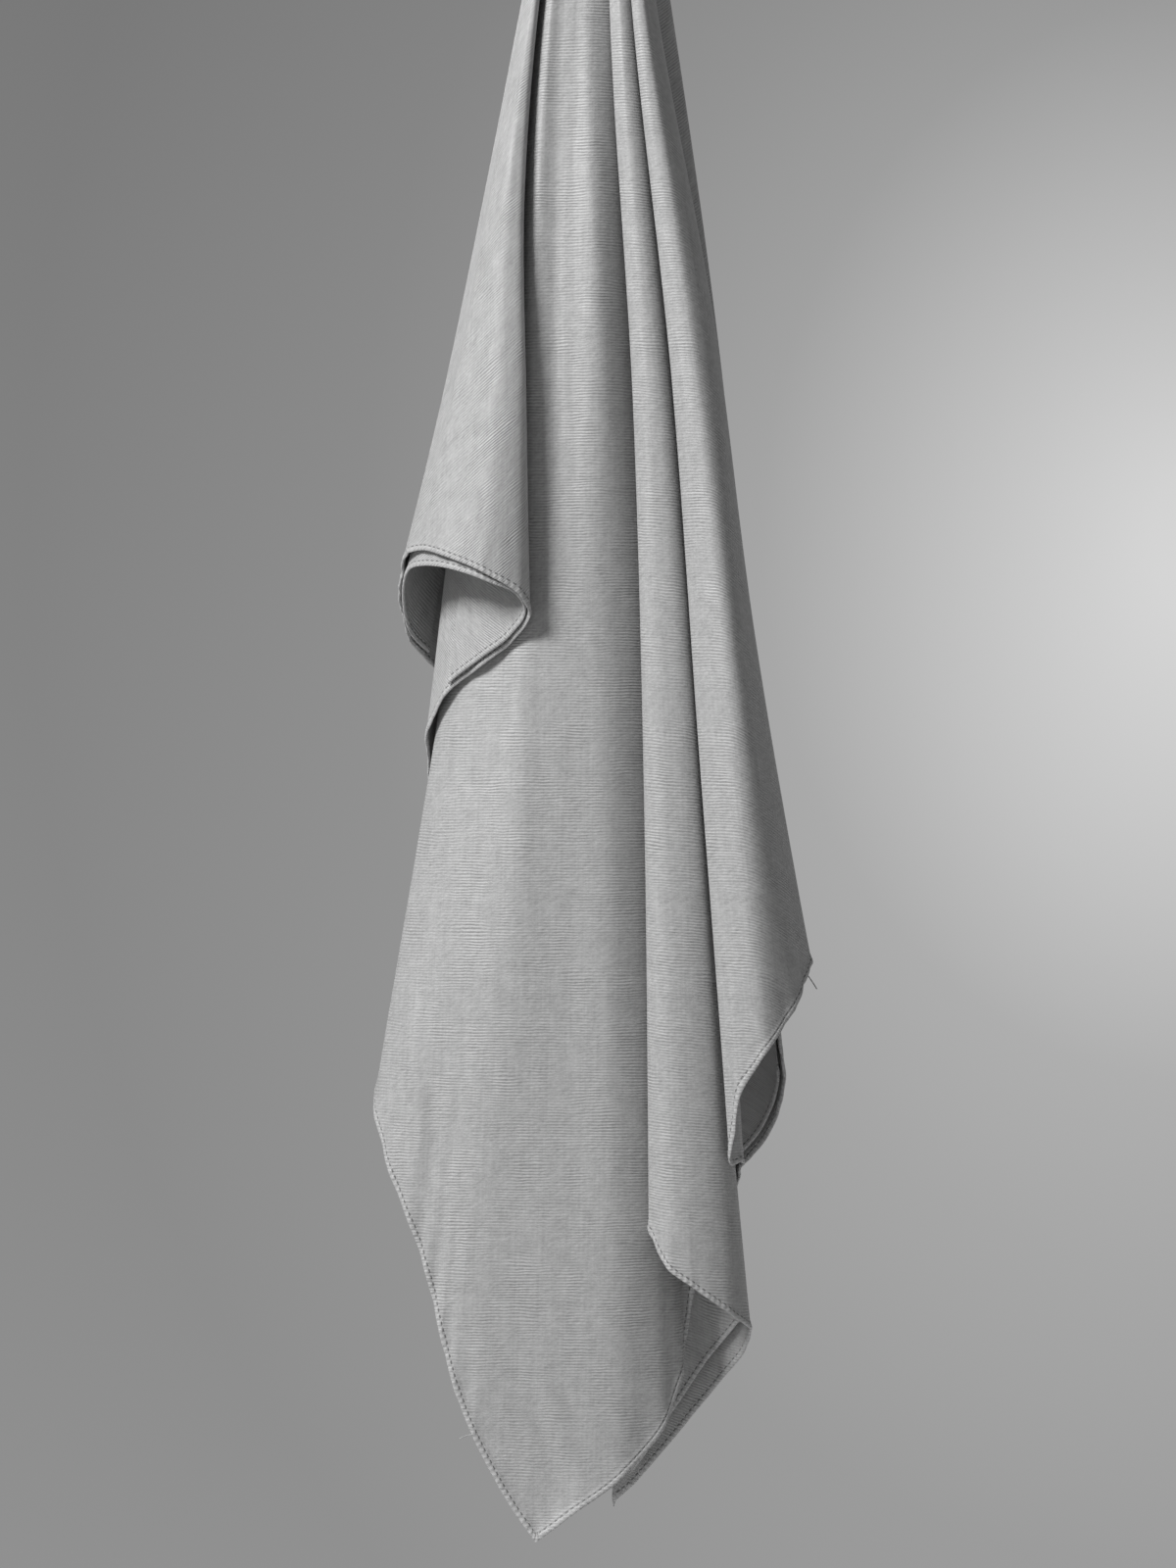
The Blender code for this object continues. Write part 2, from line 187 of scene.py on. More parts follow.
def spline(knots, values, at, corners=()):
    """Smooth curve through values at uneven knots, read at the places in at.

    Between two knots it is the cubic that has their values and slopes. Each slope is the average of those on
    its two sides, weighted by nearness. A knot named in corners keeps the straight slope of each side.
    """
    knots, values, at = np.asarray(knots, float), np.asarray(values, float), np.asarray(at, float)
    column = (-1,) + (1,) * (values.ndim - 1)
    gaps = np.diff(knots).reshape(column)
    rises = np.diff(values, axis=0) / gaps
    inner = (rises[:-1] * gaps[1:] + rises[1:] * gaps[:-1]) / (gaps[:-1] + gaps[1:])
    slopes_in = np.concatenate([rises[:1], inner, rises[-1:]])
    slopes_out = slopes_in.copy()
    for knot in corners:
        slopes_in[knot], slopes_out[knot] = rises[knot - 1], rises[knot]
    left = np.clip(np.searchsorted(knots, at, side="right") - 1, 0, len(knots) - 2)
    gap = gaps[left]
    t = (at - knots[left]).reshape(column) / gap
    return ((2 * t**3 - 3 * t**2 + 1) * values[left] + (t**3 - 2 * t**2 + t) * gap * slopes_out[left]
            + (3 * t**2 - 2 * t**3) * values[left + 1] + (t**3 - t**2) * gap * slopes_in[left + 1])


def fold_line(fold, drops):
    """Points of a fold line: x is a spline through its table row and runs straight on past its end, y grows
    with the square root of the drop, and z is minus the drop."""
    third = (fold.drop - NECK_DROP) / 3
    knots = [GATHER_DROP, NECK_DROP, NECK_DROP + third, NECK_DROP + 2 * third, fold.drop]
    gather = fold.neck * (NECK_SQUEEZE + (1 - NECK_SQUEEZE) * GATHER_DROP / NECK_DROP)
    x = spline(knots, [gather, fold.neck, fold.upper, fold.lower, fold.end], np.minimum(drops, fold.drop))
    x += (fold.end - fold.lower) / third * np.maximum(drops - fold.drop, 0)
    y = fold.depth * np.sqrt((drops - DEPTH_START) / (DEPTH_DROP - DEPTH_START))
    return np.column_stack([x, y, -drops])


# Place of each fold line along the cloth: the length of the line through them at their lower reading
PLACES = np.concatenate([[0], np.cumsum(np.hypot(*np.diff([(f.lower, f.depth) for f in FOLDS], axis=0).T))])

# Columns of the grid that the whole cloth is worked out on: one on each fold line, the rest evenly between
COLUMN_STEP = 1.4
COLUMN_OF = np.concatenate([[0], np.cumsum(np.ceil(np.diff(PLACES) / COLUMN_STEP))]).astype(int)
COLUMNS = np.interp(np.arange(COLUMN_OF[-1] + 1), COLUMN_OF, PLACES)

# Rows of the grid: near the hem they keep these distances from its edge, and above they widen steadily
HEM_ROWS = np.array([0, 0.25, 0.7, 1.3, 1.9, 2.25, 2.6, 3.1, 3.8, 4.8, 6.0, 7.4])
ROWS_ABOVE = 140
ROWS_WIDEN = 1.35
COARSE_ROWS = 120
REACH_MOST = 6.0        # the most that a slanting hem stretches those distances along a column


def read_down(grid, at):
    """Smooth curve down each column of a grid, read at the row numbers in at: the Catmull-Rom cubic through
    the two rows above and the two below."""
    ahead = np.concatenate([2 * grid[:, :1] - grid[:, 1:2], grid, 2 * grid[:, -1:] - grid[:, -2:-1]], axis=1)
    whole = np.clip(np.floor(at).astype(int), 0, grid.shape[1] - 2)
    t = (at - whole).reshape(at.shape + (1,) * (grid.ndim - 2))
    a, b, c, d = (ahead[np.arange(len(grid))[:, None], whole + k] for k in range(4))
    return 0.5 * (2 * b + (c - a) * t + (2 * a - 5 * b + 4 * c - d) * t**2 + (3 * b - a - 3 * c + d) * t**3)


def unit(vectors):
    """Vectors of the same ways, each divided by its own length."""
    return vectors / np.linalg.norm(vectors, axis=-1, keepdims=True)


def length_along(line):
    """Length of a line of points from its first one to each of them."""
    return np.concatenate([[0], np.cumsum(np.linalg.norm(np.diff(line, axis=0), axis=1))])


def hem_reach(coarse):
    """How far along each column a millimetre from the hem reaches: one over the sine of the angle between
    them, on the steeper side where the hem turns, evened out over five columns."""
    hem = unit(np.diff(coarse[:, -1], axis=0))
    down = unit(coarse[:, -1] - coarse[:, -3])
    after = np.append(np.linalg.norm(np.cross(down[:-1], hem), axis=1), 1)
    before = np.insert(np.linalg.norm(np.cross(down[1:], hem), axis=1), 0, 1)
    sine = np.clip(np.minimum(after, before), 1 / REACH_MOST, 1)
    weights = np.array([1, 2, 3, 2, 1]) / 9
    return 1 / np.convolve(np.pad(sine, 2, mode="edge"), weights, mode="valid")


def cloth_grid(top_drop=GATHER_DROP, hem_shift=None):
    """Points of the whole cloth, across by down, and each one's distance from the hem.

    The spline through the fold lines is read at even shares of their length, and then down each column at
    the rows that keep their distance from the hem. hem_shift moves each fold line's end down.
    """
    shift = np.zeros(len(FOLDS)) if hem_shift is None else hem_shift
    share = np.linspace(0, 1, COARSE_ROWS + 1)
    lines = np.array([fold_line(fold, top_drop + share * (fold.drop + lower - top_drop))
                      for fold, lower in zip(FOLDS, shift)])
    coarse = spline(PLACES, lines, COLUMNS)
    coarse[:, :, 2] = spline(PLACES, lines[:, :, 2], COLUMNS, [fold_index(name) for name in CORNERS])
    reach = hem_reach(coarse)[:, None]
    length = np.linalg.norm(np.diff(coarse, axis=1), axis=2).sum(axis=1)[:, None]
    zone = HEM_ROWS[-1] * reach
    rise = np.linspace(1, 0, ROWS_ABOVE, endpoint=False) ** ROWS_WIDEN
    heights = np.concatenate([zone + (length - zone) * rise, HEM_ROWS[::-1] * reach], axis=1)
    return read_down(coarse, (1 - heights / length) * COARSE_ROWS), heights / reach


def inward(grid):
    """Unit normals of a grid, on the hollow's side: the cross product of its steps across and down."""
    return unit(np.cross(np.gradient(grid, axis=0), np.gradient(grid, axis=1)))


# Where the folds lie nearer to the eye or farther off than the square root of the drop would have them:
# within reach of a place between fold lines, and between two drops. back is how far they lie back, and is
# under 0 where they lie nearer.
Sway = namedtuple("Sway", "fold share reach top low back")
SWAYS = [
    Sway("left_roll_crown", 0.0, 26, -60, 300, 5.0),
    Sway("left_roll_front", 0.6, 20, 210, 560, -6.5),
    Sway("left_flap_middle", 0.2, 17, 350, 520, 4.2),
    Sway("main_left_hem", 0.3, 14, -60, 420, -4.5),
    Sway("main_crown", 0.1, 13, 60, 420, -4.5),
    Sway("main_left_hem", 0.0, 22, 330, 720, -3.5),
    Sway("main_left", 0.0, 20, 400, 900, -8.0),
    Sway("main_crown", 0.1, 16, 330, 900, -2.8),
    Sway("middle_roll_right", 0.0, 9, 250, 760, -2.0),
    Sway("right_roll_edge", 0.3, 7, 120, 760, 2.0),
    Sway("right_roll_crown", 0.95, 12, 120, 760, -9.0),
]


def sway(grid):
    """Moves a grid forwards or back: each sway is a bell across and a half sine squared down."""
    drop = -grid[:, :, 2]
    moved = grid.copy()
    for part in SWAYS:
        fold = fold_index(part.fold)
        centre = PLACES[fold] + part.share * (PLACES[fold + 1] - PLACES[fold])
        along = np.clip((drop - part.top) / (part.low - part.top), 0, 1)
        bell = np.exp(-((COLUMNS - centre) / part.reach) ** 2)[:, None]
        moved[:, :, 1] += part.back * bell * np.sin(np.pi * along) ** 2
    return moved


# Soft troughs and ridges, given one by one. share is the way from the fold line to the next one, top and low
# are drops, depth is outwards, width is half the breadth, and lean is the drift across in 100 mm of drop.
Crease = namedtuple("Crease", "fold share top low depth width lean")
CREASES = [
    Crease("left_roll_shoulder", 0.5, 150, 370, -0.9, 7, 3),
    Crease("left_roll_front", 0.4, 120, 330, 0.8, 7, -2),
    Crease("left_roll_peak", 0.2, 250, 372, 0.6, 6, 4),
    Crease("main_left_hem", 0.4, 260, 620, -1.1, 10, 5),
    Crease("main_left_low", 0.7, 380, 700, 0.9, 9, 4),
    Crease("main_left_tip", 0.4, 120, 400, -0.9, 7, 1),
    Crease("main_right_tip", 0.4, 110, 470, 0.9, 8, 0),
    Crease("main_crown", 0.5, 300, 720, -0.7, 9, -3),
    Crease("main_left", 0.3, 540, 640, 0.8, 4, 22),
    Crease("main_left", 0.8, 560, 668, -0.7, 3.5, 20),
    Crease("main_left_hem", 0.5, 610, 716, 0.6, 4, 18),
    Crease("main_left_tip", 0.6, 700, 792, -0.8, 4, 20),
    Crease("main_corner", 0.35, 732, 788, -0.9, 3, 25),
    Crease("main_right_tip", 0.15, 726, 780, -0.8, 2.6, 30),
    Crease("middle_roll_crown", 0.3, 200, 560, 0.5, 5, 1),
    Crease("right_roll_crown", 0.6, 160, 430, -0.6, 6, 1),
    Crease("right_roll_right", 0.4, 330, 560, 0.6, 7, -2),
    Crease("right_back_side", 0.5, 140, 520, -1.6, 7, 1),
    Crease("right_back_middle", 0.3, 260, 640, 1.4, 6, -1),
    Crease("right_back_corner", 0.4, 110, 430, -1.2, 6, 1),
    Crease("right_back_corner", 0.1, 400, 660, 1.0, 5, 0),
    Crease("left_back_corner", 0.5, 120, 400, -1.6, 8, 2),
    Crease("left_back_middle", 0.4, 150, 410, 1.3, 7, -1),
    Crease("left_top_low", 0.5, 110, 320, 1.2, 5, 1),
    Crease("left_back_turn", 0.3, 130, 350, -0.8, 6, 0),
    Crease("main_turnback", 0.5, 200, 560, -1.0, 7, 0),
]
# Fine gathers below the bundle: the length of one, their depth, how far down they fade, and how much their
# length wavers and over what length
GATHER = namedtuple("Gather", "wave depth fade waver waver_length")(7.5, 0.9, 38.0, 1.5, 31.0)
# Puckers that the hem's stitching draws up: their length along the hem, height, and fade away from the hem.
# Their length wavers over a few of them, and they are higher in some places than in others.
Pucker = namedtuple("Pucker", "wave height fade phase")
PUCKERS = [Pucker(11.0, 0.32, 9.0, 0.0), Pucker(6.3, 0.18, 6.0, 1.3), Pucker(26.0, 0.75, 20.0, 2.1)]
PUCKER_WAVER = 0.9
PUCKER_WAVER_LENGTH = 2.7       # in puckers
PUCKER_SWELL = 0.4
PUCKER_SWELL_LENGTH = 41.0
RING_CALM = 12.0        # gathers and puckers grow to their full height this far from where the ring closes
# Where a hem curls outwards: around a place between fold lines, within reach of it, fading away from the hem
Curl = namedtuple("Curl", "fold share reach height fade")
CURLS = [
    Curl("main_corner", 0.9, 16, 3.6, 9.0),
    Curl("main_left_low", 0.5, 22, 1.6, 6.0),
    Curl("right_back_corner", 0.0, 14, 2.5, 9.0),
    Curl("middle_corner", 0.2, 6, 2.2, 5.0),
]


def drape(grid, hem_distance):
    """Moves a grid along its normals: each crease is a bell across and a half sine squared down, the gathers
    are a sine that fades with the drop, the puckers are sines along the hem that fade away from it, and each
    curl is a bell along the hem that fades likewise."""
    place, drop = COLUMNS[:, None], -grid[:, :, 2]
    out = np.zeros(grid.shape[:2])
    for crease in CREASES:
        fold = fold_index(crease.fold)
        middle = (crease.top + crease.low) / 2
        centre = (PLACES[fold] + crease.share * (PLACES[fold + 1] - PLACES[fold])
                  + crease.lean * (drop - middle) / 100)
        along = np.clip((drop - crease.top) / (crease.low - crease.top), 0, 1)
        out += crease.depth * np.exp(-((place - centre) / crease.width) ** 2) * np.sin(np.pi * along) ** 2
    calm = np.clip(np.minimum(place - PLACES[1], PLACES[-3] - place) / RING_CALM, 0, 1)
    fade = np.exp(-((drop - GATHER_DROP) / GATHER.fade) ** 2)
    waver = GATHER.waver * np.sin(place / GATHER.waver_length)
    out += calm * GATHER.depth * fade * np.sin(2 * np.pi * place / GATHER.wave + waver)
    hem = length_along(grid[:, -1])[:, None]
    for pucker in PUCKERS:
        waver = PUCKER_WAVER * np.sin(hem / (PUCKER_WAVER_LENGTH * pucker.wave) + pucker.phase)
        swell = 1 - PUCKER_SWELL + PUCKER_SWELL * np.sin(hem / PUCKER_SWELL_LENGTH + pucker.phase)
        out += (calm * swell * pucker.height * np.exp(-hem_distance / pucker.fade)
                * np.sin(2 * np.pi * hem / pucker.wave + waver + pucker.phase))
    for curl in CURLS:
        fold = fold_index(curl.fold)
        centre = PLACES[fold] + curl.share * (PLACES[fold + 1] - PLACES[fold])
        out += curl.height * np.exp(-((place - centre) / curl.reach) ** 2 - hem_distance / curl.fade)
    return grid - out[:, :, None] * inward(grid)


# Height between the level sections in which the cloth's own coordinates are worked out
LEVEL_STEP = 10.0
LEVELS = 84


def rib_places():
    """The cloth's own coordinates: u is the length of the level section from the first column, and rise is
    the sum of that length times the ribs' climb."""
    drops = GATHER_DROP + LEVEL_STEP * np.arange(LEVELS)
    level = spline(PLACES, np.array([fold_line(fold, drops) for fold in FOLDS]), COLUMNS)
    step = np.hypot(*np.moveaxis(np.diff(level[:, :, :2], axis=0), 2, 0))
    climb = np.interp((COLUMNS[1:] + COLUMNS[:-1]) / 2, PLACES, [fold.rib for fold in FOLDS])[:, None]
    start = np.zeros((1, LEVELS))
    return [np.concatenate([start, np.cumsum(field, axis=0)]) for field in (step, climb * step)]


def hem_places(grid):
    """Each point's place along the hem: its column's, and its own step along the hem's way from there."""
    hem = grid[:, -1]
    way = unit(np.gradient(hem, axis=0))
    return length_along(hem)[:, None] + np.einsum("cdk,ck->cd", grid - hem[:, None], way)


def new_piece(name, points, faces, material, uv=None, hem=None, normals=None, flat=0):
    """A mesh object from points in millimetres and arrays of faces.

    uv, hem and normals hold a row for each point: its place on the cloth, its place along the hem and
    distance from it, and its normal. The last faces, as many as flat says, are flat and keep their own.
    """
    mesh = bpy.data.meshes.new(name)
    sides = np.concatenate([np.full(len(part), part.shape[1]) for part in faces])
    corners = np.concatenate([part.ravel() for part in faces])
    mesh.vertices.add(len(points))
    mesh.vertices.foreach_set("co", (points * MM).ravel())
    mesh.loops.add(len(corners))
    mesh.loops.foreach_set("vertex_index", corners)
    mesh.polygons.add(len(sides))
    mesh.polygons.foreach_set("loop_start", np.cumsum(sides) - sides)
    mesh.polygons.foreach_set("use_smooth", np.arange(len(sides)) < len(sides) - flat)
    if uv is not None:
        mesh.uv_layers.new(name="cloth").data.foreach_set("uv", uv[corners].ravel())
    if hem is not None:
        mesh.attributes.new("hem", "FLOAT_VECTOR", "POINT").data.foreach_set("vector", hem.ravel())
    mesh.update(calc_edges=True)
    if normals is not None:
        smooth = np.arange(len(corners)) < len(corners) - 4 * flat
        mesh.normals_split_custom_set(normals[corners] * smooth[:, None])
    mesh.materials.append(material)
    piece = bpy.data.objects.new(name, mesh)
    bpy.context.scene.collection.objects.link(piece)
    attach(piece, "root")
    return piece


# Half the thickness at these distances from the hem's edge. The hem is turned twice: it swells, and the
# stitches pull a groove in it.
HEM_DISTANCES = [0, 0.25, 0.7, 1.3, 1.9, 2.25, 2.6, 3.1, 3.8]
HEM_HALF = [0.2, 0.48, 0.66, 0.68, 0.6, 0.22, 0.44, 0.36, 0.17]


def shell(name, grid, hem_distance, uv, material):
    """A closed thin shell: the grid moved out and in along its normals by half the thickness, joined round.

    The grid has one column more at each side than the shell. It gives the normals there, so that the shading
    runs on from one stretch to the next.
    """
    offset = np.interp(hem_distance, HEM_DISTANCES, HEM_HALF)[:, :, None] * inward(grid)
    outer, inner = grid - offset, grid + offset
    normals = np.concatenate([-inward(outer)[1:-1].reshape(-1, 3), inward(inner)[1:-1].reshape(-1, 3)])
    points = np.concatenate([outer[1:-1].reshape(-1, 3), inner[1:-1].reshape(-1, 3)])
    count = len(points) // 2
    number = np.arange(count).reshape(len(grid) - 2, -1)
    quads = np.stack([number[:-1, :-1], number[:-1, 1:], number[1:, 1:], number[1:, :-1]], axis=2)
    low = number[:, -1]
    foot = np.stack([low[1:], low[:-1], low[:-1] + count, low[1:] + count], axis=1)
    rims = []
    for edge in (number[0, ::-1], number[-1], number[:, 0]):
        rims.append(np.stack([edge[:-1], edge[1:], edge[1:] + count, edge[:-1] + count], axis=1))
    rims = np.concatenate(rims)
    faces = [quads.reshape(-1, 4), quads.reshape(-1, 4)[:, ::-1] + count, foot, rims]
    hem = np.stack([hem_places(grid), hem_distance, 0 * hem_distance], axis=2)
    uv, hem = (np.tile(field[1:-1].reshape(count, -1), (2, 1)) for field in (uv, hem))
    return new_piece(name, points, faces, material, uv, hem, normals, len(rims))


def linear(code):
    """Linear colour of an sRGB hex code: ((c + 0.055) / 1.055) to the power 2.4, or c / 12.92 when dark."""
    c = np.array([int(code[i:i + 2], 16) for i in (1, 3, 5)]) / 255
    return (*np.where(c > 0.04045, ((c + 0.055) / 1.055) ** 2.4, c / 12.92), 1)


def add_node(tree, kind, links=None, **settings):
    """Adds a node with its settings. links maps an input's name or number to a socket or a value."""
    node = tree.nodes.new(kind)
    for key, value in settings.items():
        setattr(node, key, value)
    for key, value in (links or {}).items():
        if isinstance(value, bpy.types.NodeSocket):
            tree.links.new(value, node.inputs[key])
        else:
            node.inputs[key].default_value = value
    return node


# The real ribs are 0.9 mm apart, which is finer than the render shows, so they are drawn 1.35 mm apart. They
# wander, over long and short stretches, and show more in some places than in others. Their valleys are
# painted darker in the cloth's colour: painted shade of the rib relief, which the bump gives as well.
RIB_PITCH = 1.35
RIB_HEIGHT = 0.16
RIB_WANDER = 3.0
RIB_WAVE = 0.9
# how much darker the ribs' valleys are painted: painted shade of their relief
RIB_PAINTED_SHADE = 0.17
RIB_MEAN = 0.65             # how clear the ribs are, on average
RIB_CLEAR = 3.6             # how much that changes from place to place
RIB_FAINT = 0.15            # and where they are faintest
# Spots of noise: their length across and down in mm, how fine their detail goes, how rough it is, the angle
# that they are turned by, and their share in the cloth's tone. The first three only move or fade the ribs.
Spots = namedtuple("Spots", "across down detail roughness climb share")
RIBS_WANDER = Spots(40, 14, 2, 0.5, 0.0, 0)
RIBS_WAVE = Spots(7, 4, 2, 0.5, 0.0, 0)
RIBS_CLEAR = Spots(16, 22, 3, 0.5, 0.0, 0)
GRAIN = Spots(1.5, 0.7, 3, 0.6, 0.0, 0.5)
WEFT_STREAKS = Spots(26, 1.0, 2, 0.5, 0.0, 0.2)
WARP_STREAKS = Spots(1.1, 34, 2, 0.5, 0.0, 0.22)
MOTTLE = Spots(7, 9, 4, 0.6, 0.0, 0.3)
PAINTED_GLINTS = Spots(5.5, 1.7, 3, 0.6, 0.6, 0.45)         # painted glints: flecks painted lighter and darker, the sparkle of light on the twill's surface
TWILL_DARK = "#6a6a6a"
TWILL_LIGHT = "#c4c4c4"
# The hem's cloth lies threefold and puffs up between the stitches. Its rim and the puffs are painted lighter,
# a painted highlight where it swells, and the groove that the stitches pull is painted darker in the gaps
# between them, painted shade.
STITCH_PITCH = 3.0
HEM_STITCHED = 2.0          # the stitches' distance from the edge, and the end of the hem's rim with its painted highlight
HEM_END = 2.55              # where the groove that the stitches pull runs out
HEM_SOFT = 0.15
GAP_SOFT = 0.3              # the groove's painted shade lies only in the gaps between stitches
PUFF_HEIGHT = 0.1
PUFF_PAINTED_HIGHLIGHT = 0.03
RIM_PAINTED_HIGHLIGHT = 0.1
GROOVE_PAINTED_SHADE = 0.75
# Height of the ribs and of the grain in the cloth's relief, and how strongly it shows
RIB_RELIEF = 0.5
GRAIN_RELIEF = 0.9
RELIEF_STRENGTH = 0.8
ROUGHNESS = 0.40            # of the cloth where its grain is darkest
ROUGHNESS_SPREAD = 0.22     # and how much more it has where the grain is lightest


def twill():
    """Fine polyester or silk twill, woven and washed: diagonal ribs, a soft lustre, and threads of slightly
    uneven thickness, which show as a fine grain and as faint streaks along the ribs and across them."""
    material = bpy.data.materials.new("grey_twill")
    material.use_nodes = True
    tree = material.node_tree
    shader = tree.nodes["Principled BSDF"]
    uv = add_node(tree, "ShaderNodeUVMap", uv_map="cloth").outputs[0]

    def noise(spots):
        """Noise from 0 to 1 on the cloth's own coordinates, turned and scaled to the spots' size."""
        place = add_node(tree, "ShaderNodeVectorRotate", {"Vector": uv, "Angle": spots.climb},
                         rotation_type="Z_AXIS").outputs[0]
        place = add_node(tree, "ShaderNodeVectorMath", {0: place, 1: (1 / spots.across, 1 / spots.down, 1)},
                         operation="MULTIPLY").outputs[0]
        return add_node(tree, "ShaderNodeTexNoise", {"Vector": place, "Scale": 1.0, "Detail": spots.detail,
                                                     "Roughness": spots.roughness}).outputs["Fac"]

    def math(operation, *values):
        return add_node(tree, "ShaderNodeMath", dict(enumerate(values)), operation=operation).outputs[0]

    def step(value, none, full):
        """0 from none on, 1 from full on, and smooth between the two."""
        return add_node(tree, "ShaderNodeMapRange", {"Value": value, "From Min": none, "From Max": full},
                        interpolation_type="SMOOTHSTEP").outputs[0]

    hem = add_node(tree, "ShaderNodeAttribute", attribute_name="hem").outputs["Vector"]
    along, distance = add_node(tree, "ShaderNodeSeparateXYZ", {0: hem}).outputs[:2]
    puff = math("COSINE", math("MULTIPLY", along, 2 * np.pi / STITCH_PITCH))    # -1 in a stitch's middle
    gap = step(puff, -GAP_SOFT, GAP_SOFT)
    rim = step(distance, HEM_STITCHED + HEM_SOFT, HEM_STITCHED - HEM_SOFT)
    groove = math("SUBTRACT", step(distance, HEM_END + HEM_SOFT, HEM_END - HEM_SOFT), rim)
    groove = math("MULTIPLY", groove, gap)
    puff = math("MULTIPLY", rim, puff)
    down = add_node(tree, "ShaderNodeSeparateXYZ", {0: uv}).outputs[1]
    wander = math("MULTIPLY_ADD", noise(RIBS_WANDER), RIB_WANDER, down)
    wander = math("MULTIPLY_ADD", noise(RIBS_WAVE), RIB_WAVE, wander)
    rib = math("SINE", math("MULTIPLY", wander, 2 * np.pi / RIB_PITCH))
    clear = math("MULTIPLY_ADD", math("SUBTRACT", noise(RIBS_CLEAR), 0.5), RIB_CLEAR, RIB_MEAN)
    rib = math("MULTIPLY", rib, math("MAXIMUM", clear, RIB_FAINT))
    grain = noise(GRAIN)
    # the ribs' valleys painted darker: painted shade of the rib relief
    tone = math("MULTIPLY_ADD", rib, RIB_PAINTED_SHADE, 0.5)
    tone = math("MULTIPLY_ADD", math("SUBTRACT", grain, 0.5), GRAIN.share, tone)
    # The grain, the streaks and the mottle are the cloth's own uneven tone. The last, the flecks, are painted
    # glints.
    for spots in (WEFT_STREAKS, WARP_STREAKS, MOTTLE, PAINTED_GLINTS):
        tone = math("MULTIPLY_ADD", math("SUBTRACT", noise(spots), 0.5), spots.share, tone)
    # painted highlight on the hem's rim and puffs, and painted shade in the groove between the stitches
    for part, share in ((rim, RIM_PAINTED_HIGHLIGHT), (puff, PUFF_PAINTED_HIGHLIGHT), (groove, -GROOVE_PAINTED_SHADE)):
        tone = math("MULTIPLY_ADD", part, share, tone)
    colour = add_node(tree, "ShaderNodeValToRGB", {0: tone})
    colour.color_ramp.elements[0].color = linear(TWILL_DARK)
    colour.color_ramp.elements[1].color = linear(TWILL_LIGHT)
    relief = math("MULTIPLY_ADD", rib, RIB_RELIEF, math("MULTIPLY", grain, GRAIN_RELIEF))
    puffed = add_node(tree, "ShaderNodeBump", {"Height": puff, "Strength": 1.0, "Distance": PUFF_HEIGHT * MM})
    bump = add_node(tree, "ShaderNodeBump", {"Height": relief, "Strength": RELIEF_STRENGTH,
                                             "Distance": RIB_HEIGHT * MM, "Normal": puffed.outputs[0]})
    roughness = math("MULTIPLY_ADD", grain, ROUGHNESS_SPREAD, ROUGHNESS)
    tree.links.new(colour.outputs[0], shader.inputs["Base Color"])
    tree.links.new(bump.outputs[0], shader.inputs["Normal"])
    tree.links.new(roughness, shader.inputs["Roughness"])
    shader.inputs["Specular IOR Level"].default_value = 0.42
    shader.inputs["Sheen Weight"].default_value = 0.18
    shader.inputs["Sheen Roughness"].default_value = 0.45
    return material


grey_twill = twill()

grid, from_hem = cloth_grid()
grid = drape(sway(grid), from_hem)
u_level, rib_rise = rib_places()


def cloth_uv(part, columns, ribs_from):
    """u and v of the cloth in millimetres: the length across, and the drop plus the ribs' rise, both
    measured from the fold line ribs_from."""
    drop = -part[:, :, 2]
    zero = COLUMN_OF[fold_index(ribs_from)]
    across, rise = (read_down(field[columns] - field[zero], (drop - GATHER_DROP) / LEVEL_STEP)
                    for field in (u_level, rib_rise))
    return np.stack([across, drop + rise], axis=2)


def hang(node):
    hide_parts(node)


# Sewing thread: each stitch of the hem is a short soft bead of it, on both faces, sunk into its groove
STITCH_HALF = (0.75, 0.2, 0.13)         # half its length, width and height
STITCH_ROW = 5                          # its row in HEM_ROWS
THREAD_SIDES = 6
THREAD_DARK = "#808080"
THREAD_LIGHT = "#c0c0c0"
FIBRES_PER_M = 900.0


def bead():
    """Points and faces of a ball of three rings, with a pole at each end of its long axis."""
    side = np.arange(THREAD_SIDES)
    after = (side + 1) % THREAD_SIDES
    turn = 2 * np.pi * side / THREAD_SIDES
    circle = np.column_stack([0 * turn, np.cos(turn), np.sin(turn)])
    rings = [circle * np.sin(tilt) + [np.cos(tilt), 0, 0] for tilt in (np.pi / 4, np.pi / 2, 3 * np.pi / 4)]
    points = np.concatenate([[[1, 0, 0]], *rings, [[-1, 0, 0]]])
    first, second, third, pole = 1 + THREAD_SIDES * np.arange(4)
    caps = [np.stack([0 * side, first + side, first + after], axis=1),
            np.stack([third + after, third + side, pole + 0 * side], axis=1)]
    walls = [np.stack([low + side, high + side, high + after, low + after], axis=1)
             for low, high in ((first, second), (second, third))]
    return points, caps, walls


def sewing_thread():
    """Spun polyester sewing thread: matt, a little lighter than the cloth, with a twist too fine to show."""
    material = bpy.data.materials.new("sewing_thread")
    material.use_nodes = True
    tree = material.node_tree
    shader = tree.nodes["Principled BSDF"]
    place = add_node(tree, "ShaderNodeTexCoord").outputs["Object"]
    fibre = add_node(tree, "ShaderNodeTexNoise", {"Vector": place, "Scale": FIBRES_PER_M, "Detail": 2.0})
    colour = add_node(tree, "ShaderNodeValToRGB", {0: fibre.outputs["Fac"]})
    colour.color_ramp.elements[0].color = linear(THREAD_DARK)
    colour.color_ramp.elements[1].color = linear(THREAD_LIGHT)
    tree.links.new(colour.outputs[0], shader.inputs["Base Color"])
    shader.inputs["Roughness"].default_value = 0.6
    return material


thread = sewing_thread()


